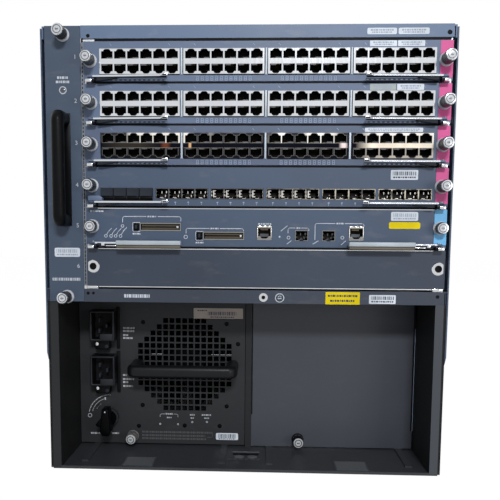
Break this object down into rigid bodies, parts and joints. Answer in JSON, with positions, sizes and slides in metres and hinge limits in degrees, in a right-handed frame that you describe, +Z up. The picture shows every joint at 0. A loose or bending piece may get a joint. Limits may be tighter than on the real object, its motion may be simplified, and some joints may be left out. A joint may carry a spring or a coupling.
{
  "type": "modular network switch chassis",
  "caption": "Rack-mount switch chassis with horizontal cards of copper and pluggable ports, a fan tray at the left, a power supply and a blank power bay below.",
  "frame": {"origin": "under the middle of the bounding box, on the plane that the chassis stands on", "axes": "X to the right seen from the front, Y from the front to the back, Z up"},
  "size_m": [0.4444, 0.49, 0.488],
  "materials": {
    "chassis_paint": "satin slate paint",
    "panel_paint": "satin slate paint",
    "bay_paint": "matt charcoal paint",
    "cover_paint": "satin grey paint",
    "bare_steel": "plated sheet",
    "nickel": "bright nickel plate",
    "shield": "bright shield plate",
    "lever_metal": "satin plate",
    "lever_plastic": "satin pale plastic",
    "black_plastic": "satin black plastic",
    "guide_plastic": "matt plastic",
    "board": "solder mask"
  },
  "bodies": {
    "chassis": {"base_pan": "bay_paint", "top_panel": "chassis_paint", "left_side_wall": "bay_paint", "right_side_wall": "bay_paint", "side_vent_plates": "chassis_paint", "rear_panel": "chassis_paint", "mid_shelf": "chassis_paint", "psu_divider": "bay_paint", "cage_walls": "bare_steel", "card_guides": "guide_plastic", "backplane": "board", "esd_jack": "nickel", "filler_panel": "panel_paint", "psu_blank_cover": "cover_paint"},
    "fan_tray": {"fan_tray_panel": "panel_paint", "fan_tray_frame": "bare_steel", "fan_tray_handle": "black_plastic", "fan_housings": "black_plastic", "fan_tray_screws": "nickel"},
    "fan_rotor_1": {"fan_rotor_1": "black_plastic"},
    "fan_rotor_2": {"fan_rotor_2": "black_plastic"},
    "psu": {"psu_case": "bay_paint", "psu_front_panel": "bay_paint", "psu_handle": "black_plastic", "psu_inlets": "black_plastic"},
    "psu_knob": {"psu_knob": "black_plastic"},
    "psu_fan_rotor": {"psu_fan_rotor": "black_plastic"},
    "card_1": {"card_1_faceplate": "panel_paint", "card_1_board": "board", "card_1_jacks": "shield", "card_1_screws": "nickel"},
    "card_1_lever_left": {"card_1_lever_left": "lever_metal"},
    "card_1_lever_right": {"card_1_lever_right": "lever_metal"},
    "card_2": {"card_2_faceplate": "panel_paint", "card_2_board": "board", "card_2_jacks": "shield", "card_2_screws": "nickel"},
    "card_2_lever_left": {"card_2_lever_left": "lever_metal"},
    "card_2_lever_right": {"card_2_lever_right": "lever_metal"},
    "card_3": {"card_3_faceplate": "panel_paint", "card_3_board": "board", "card_3_jacks": "shield", "card_3_screws": "nickel"},
    "card_3_lever_left": {"card_3_lever_left": "lever_metal"},
    "card_3_lever_right": {"card_3_lever_right": "lever_metal"},
    "card_4": {"card_4_faceplate": "panel_paint", "card_4_board": "board", "card_4_cages": "shield", "card_4_dust_plugs": "black_plastic", "card_4_screws": "nickel"},
    "card_4_lever_left": {"card_4_lever_left": "lever_metal"},
    "card_4_lever_right": {"card_4_lever_right": "lever_metal"},
    "card_5": {"card_5_faceplate": "panel_paint", "card_5_board": "board", "card_5_ports": "shield", "card_5_screws": "nickel"},
    "card_5_lever_left": {"card_5_lever_left": "lever_plastic"},
    "card_5_lever_right": {"card_5_lever_right": "lever_plastic"},
    "card_5_eject_button_1": {"card_5_eject_button_1": "black_plastic"},
    "card_5_eject_button_2": {"card_5_eject_button_2": "black_plastic"}
  },
  "joints": [
    {"name": "fan_tray_slide", "type": "slide", "parent": "chassis", "child": "fan_tray", "axis": [0, -1, 0], "range_m": [0, 0.36]},
    {"name": "psu_slide", "type": "slide", "parent": "chassis", "child": "psu", "axis": [0, -1, 0], "range_m": [0, 0.33]},
    {"name": "psu_knob_turn", "type": "hinge", "parent": "psu", "child": "psu_knob", "pos_m": [-0.17, -0.15, 0.038], "axis": [0, 1, 0], "range_deg": [-90, 0]},
    {"name": "psu_fan_spin", "type": "hinge", "parent": "psu", "child": "psu_fan_rotor", "pos_m": [-0.076, -0.115, 0.1052], "axis": [0, 1, 0], "continuous": true},
    {"name": "fan_spin_1", "type": "hinge", "parent": "fan_tray", "child": "fan_rotor_1", "pos_m": [-0.1942, -0.111, 0.34], "axis": [1, 0, 0], "continuous": true},
    {"name": "fan_spin_2", "type": "hinge", "parent": "fan_tray", "child": "fan_rotor_2", "pos_m": [-0.1942, 0.079, 0.34], "axis": [1, 0, 0], "continuous": true},
    {"name": "card_1_slide", "type": "slide", "parent": "chassis", "child": "card_1", "axis": [0, -1, 0], "range_m": [0, 0.37]},
    {"name": "card_1_lever_left_swing", "type": "hinge", "parent": "card_1", "child": "card_1_lever_left", "pos_m": [-0.16625, -0.2198, 0.4335], "axis": [0, 0, 1], "range_deg": [-82, 0]},
    {"name": "card_1_lever_right_swing", "type": "hinge", "parent": "card_1", "child": "card_1_lever_right", "pos_m": [0.20775, -0.2198, 0.4335], "axis": [0, 0, 1], "range_deg": [0, 82]},
    {"name": "card_2_slide", "type": "slide", "parent": "chassis", "child": "card_2", "axis": [0, -1, 0], "range_m": [0, 0.37]},
    {"name": "card_2_lever_left_swing", "type": "hinge", "parent": "card_2", "child": "card_2_lever_left", "pos_m": [-0.16625, -0.2198, 0.3895], "axis": [0, 0, 1], "range_deg": [-82, 0]},
    {"name": "card_2_lever_right_swing", "type": "hinge", "parent": "card_2", "child": "card_2_lever_right", "pos_m": [0.20775, -0.2198, 0.3895], "axis": [0, 0, 1], "range_deg": [0, 82]},
    {"name": "card_3_slide", "type": "slide", "parent": "chassis", "child": "card_3", "axis": [0, -1, 0], "range_m": [0, 0.37]},
    {"name": "card_3_lever_left_swing", "type": "hinge", "parent": "card_3", "child": "card_3_lever_left", "pos_m": [-0.16625, -0.2198, 0.3455], "axis": [0, 0, 1], "range_deg": [-82, 0]},
    {"name": "card_3_lever_right_swing", "type": "hinge", "parent": "card_3", "child": "card_3_lever_right", "pos_m": [0.20775, -0.2198, 0.3455], "axis": [0, 0, 1], "range_deg": [0, 82]},
    {"name": "card_4_slide", "type": "slide", "parent": "chassis", "child": "card_4", "axis": [0, -1, 0], "range_m": [0, 0.37]},
    {"name": "card_4_lever_left_swing", "type": "hinge", "parent": "card_4", "child": "card_4_lever_left", "pos_m": [-0.16625, -0.2198, 0.3015], "axis": [0, 0, 1], "range_deg": [-82, 0]},
    {"name": "card_4_lever_right_swing", "type": "hinge", "parent": "card_4", "child": "card_4_lever_right", "pos_m": [0.20775, -0.2198, 0.3015], "axis": [0, 0, 1], "range_deg": [0, 82]},
    {"name": "card_5_slide", "type": "slide", "parent": "chassis", "child": "card_5", "axis": [0, -1, 0], "range_m": [0, 0.37]},
    {"name": "card_5_lever_left_swing", "type": "hinge", "parent": "card_5", "child": "card_5_lever_left", "pos_m": [-0.16625, -0.2198, 0.2575], "axis": [0, 0, 1], "range_deg": [-82, 0]},
    {"name": "card_5_lever_right_swing", "type": "hinge", "parent": "card_5", "child": "card_5_lever_right", "pos_m": [0.20775, -0.2198, 0.2575], "axis": [0, 0, 1], "range_deg": [0, 82]},
    {"name": "card_5_eject_button_1_push", "type": "slide", "parent": "card_5", "child": "card_5_eject_button_1", "axis": [0, 1, 0], "range_m": [0, 0.0028], "stiffness_N_per_m": 600},
    {"name": "card_5_eject_button_2_push", "type": "slide", "parent": "card_5", "child": "card_5_eject_button_2", "axis": [0, 1, 0], "range_m": [0, 0.0028], "stiffness_N_per_m": 600}
  ]
}
